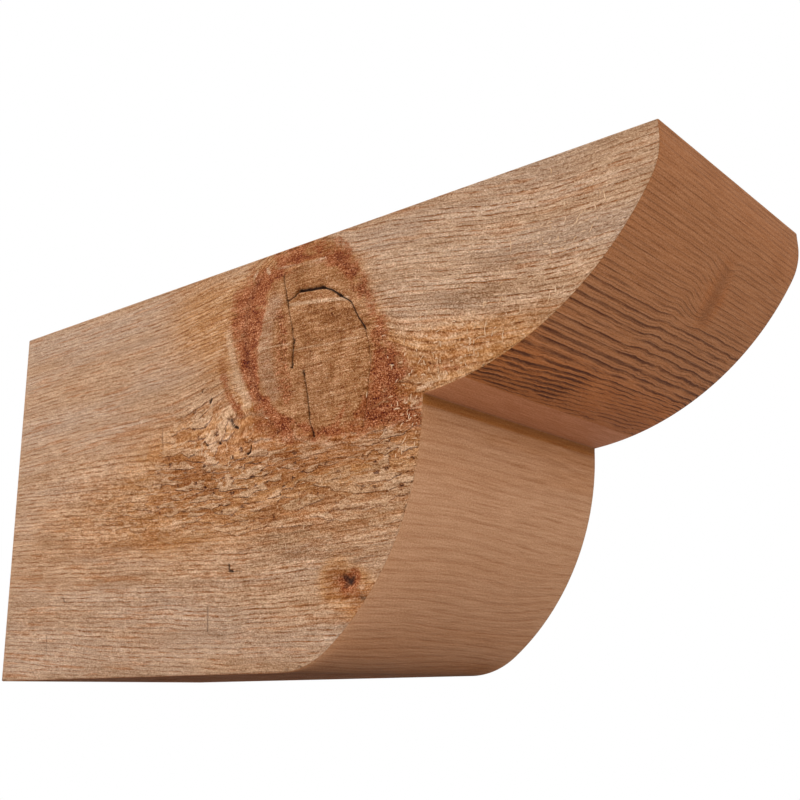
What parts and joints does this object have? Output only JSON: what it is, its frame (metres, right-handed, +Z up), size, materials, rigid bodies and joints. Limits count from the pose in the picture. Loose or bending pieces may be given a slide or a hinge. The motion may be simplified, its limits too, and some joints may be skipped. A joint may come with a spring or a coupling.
{
  "type": "carved rafter tail",
  "caption": "Solid timber rafter tail with a square back end and a front end cut to two convex curves that meet at a notch, for the eave of a roof.",
  "frame": {"origin": "middle of the underside's plane, at the centre of the timber's length and width", "axes": "+X along the timber, from the square back end to the carved tip; +Y across its width; +Z up, from the underside to the top"},
  "size_m": [0.4064, 0.146, 0.1969],
  "materials": {
    "cedar": "rough-sawn, unfinished cedar: torn grain and a large knot on the side faces, band-sawn growth lines across the two curves"
  },
  "bodies": {
    "root": {"rafter_tail": "cedar"}
  },
  "joints": []
}
